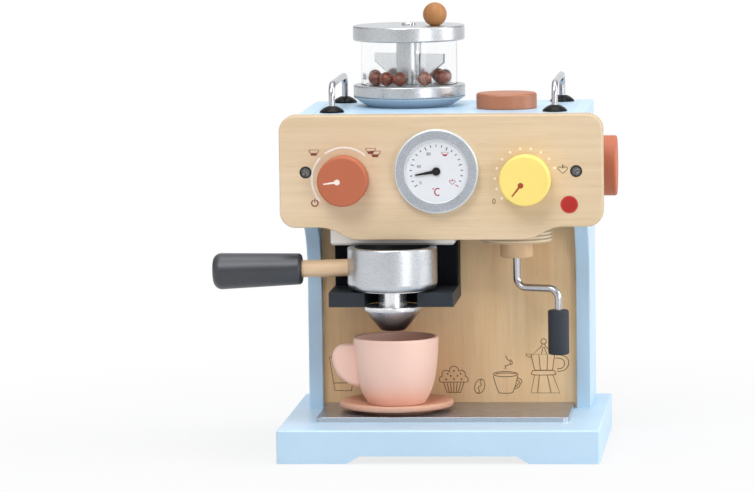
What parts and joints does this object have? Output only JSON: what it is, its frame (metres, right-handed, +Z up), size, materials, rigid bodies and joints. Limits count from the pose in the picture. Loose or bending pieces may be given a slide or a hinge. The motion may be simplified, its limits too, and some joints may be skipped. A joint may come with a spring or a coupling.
{
  "type": "toy coffee maker",
  "caption": "Wooden play espresso machine with turning knobs, gauge needle, slide-out portafilter, swivelling steam wand, hand-turned bead grinder, lift-off tank cap, saucer and cup.",
  "frame": {"origin": "centre of the base's footprint, on the surface it stands on", "axes": "+X to the machine's right as seen from the front, +Y to the back, +Z up"},
  "size_m": [0.2825, 0.196, 0.3111],
  "materials": {
    "blue_paint": "satin light-blue paint on board",
    "panel_wood": "pale plywood, clear matt finish",
    "back_wood": "pale plywood, clear matt finish, with line drawings",
    "turned_wood": "plain turned wood",
    "silver_paint": "silver paint with fine speckle on wood",
    "terracotta_paint": "matt terracotta paint",
    "yellow_paint": "matt yellow paint",
    "red_paint": "satin red paint",
    "black_paint": "matt dark grey paint",
    "black_plastic": "satin black",
    "white_card": "printed white dial",
    "clear_plastic": "clear",
    "black_steel": "black zinc",
    "bright_steel": "polished",
    "plain_steel": "zinc plated",
    "bead_wood": "brown stain, glossy varnish",
    "pink_paint": "matt pink paint"
  },
  "bodies": {
    "machine": {"base_deck": "blue_paint", "base_front_apron": "blue_paint", "base_rear_apron": "blue_paint", "base_side_aprons": "blue_paint", "base_cross_rib": "blue_paint", "left_side_panel": "blue_paint", "right_side_panel": "blue_paint", "rear_panel": "blue_paint", "top_plate": "blue_paint", "head_floor": "blue_paint", "grinder_plinth": "blue_paint", "front_panel": "panel_wood", "back_panel": "back_wood", "wand_disc": "turned_wood", "wand_boss": "turned_wood", "drip_tray": "silver_paint", "gauge_ring": "silver_paint", "group_plate": "silver_paint", "grinder_base": "silver_paint", "red_lamp": "red_paint", "bracket_block": "black_paint", "bracket_shelf": "black_paint", "rail_feet": "black_plastic", "gauge_dial": "white_card", "hopper": "clear_plastic", "front_panel_screws": "black_steel", "top_rails": "bright_steel", "side_panel_screws": "plain_steel", "bracket_screws": "plain_steel", "rail_nuts": "plain_steel", "coffee_beads": "bead_wood"},
    "left_control": {"left_knob": "terracotta_paint", "left_knob_axle": "turned_wood", "left_knob_screw": "plain_steel"},
    "right_control": {"right_knob": "yellow_paint", "right_knob_axle": "turned_wood", "right_knob_screw": "plain_steel"},
    "steam_control": {"steam_knob": "terracotta_paint", "steam_knob_axle": "turned_wood", "steam_knob_screw": "plain_steel"},
    "needle": {"gauge_needle": "black_plastic", "gauge_pin": "plain_steel", "gauge_clip": "plain_steel"},
    "portafilter": {"portafilter_basket": "silver_paint", "portafilter_spout": "silver_paint", "portafilter_dowel": "turned_wood", "portafilter_grip": "black_paint"},
    "steam_wand": {"wand_tube": "bright_steel", "wand_sleeve": "black_plastic", "wand_collar": "plain_steel"},
    "grinder_crank": {"grinder_lid": "silver_paint", "grinder_column": "silver_paint", "grinder_paddles": "clear_plastic", "grinder_bolt": "bright_steel", "grinder_nut": "plain_steel", "crank_peg": "turned_wood", "crank_ball": "turned_wood"},
    "water_cap": {"tank_cap": "terracotta_paint"},
    "saucer": {"saucer": "pink_paint"},
    "cup": {"cup": "pink_paint"}
  },
  "joints": [
    {"name": "left_knob_turn", "type": "hinge", "parent": "machine", "child": "left_control", "pos_m": [-0.0676, -0.043, 0.192], "axis": [0, -1, 0], "continuous": true},
    {"name": "right_knob_turn", "type": "hinge", "parent": "machine", "child": "right_control", "pos_m": [0.0594, -0.043, 0.192], "axis": [0, -1, 0], "continuous": true},
    {"name": "steam_knob_turn", "type": "hinge", "parent": "machine", "child": "steam_control", "pos_m": [0.1004, 0.012, 0.1966], "axis": [1, 0, 0], "continuous": true},
    {"name": "gauge_needle_turn", "type": "hinge", "parent": "machine", "child": "needle", "pos_m": [-0.0026, -0.043, 0.198], "axis": [0, -1, 0], "range_deg": [-224, 25]},
    {"name": "portafilter_slide", "type": "slide", "parent": "machine", "child": "portafilter", "axis": [0, -1, 0], "range_m": [0, 0.11]},
    {"name": "steam_wand_swivel", "type": "hinge", "parent": "machine", "child": "steam_wand", "pos_m": [0.05, -0.0025, 0.15], "axis": [0, 0, 1], "range_deg": [-140, 50]},
    {"name": "grinder_crank_turn", "type": "hinge", "parent": "machine", "child": "grinder_crank", "pos_m": [-0.029, 0.051, 0.284], "axis": [0, 0, 1], "continuous": true},
    {"name": "tank_cap_lift", "type": "slide", "parent": "machine", "child": "water_cap", "axis": [0, 0, 1], "range_m": [0, 0.04]},
    {"name": "saucer_slide", "type": "slide", "parent": "machine", "child": "saucer", "axis": [0, -1, 0], "range_m": [0, 0.1]},
    {"name": "cup_turn", "type": "hinge", "parent": "saucer", "child": "cup", "pos_m": [-0.0349, -0.0177, 0.0317], "axis": [0, 0, 1], "range_deg": [0, 180]}
  ]
}
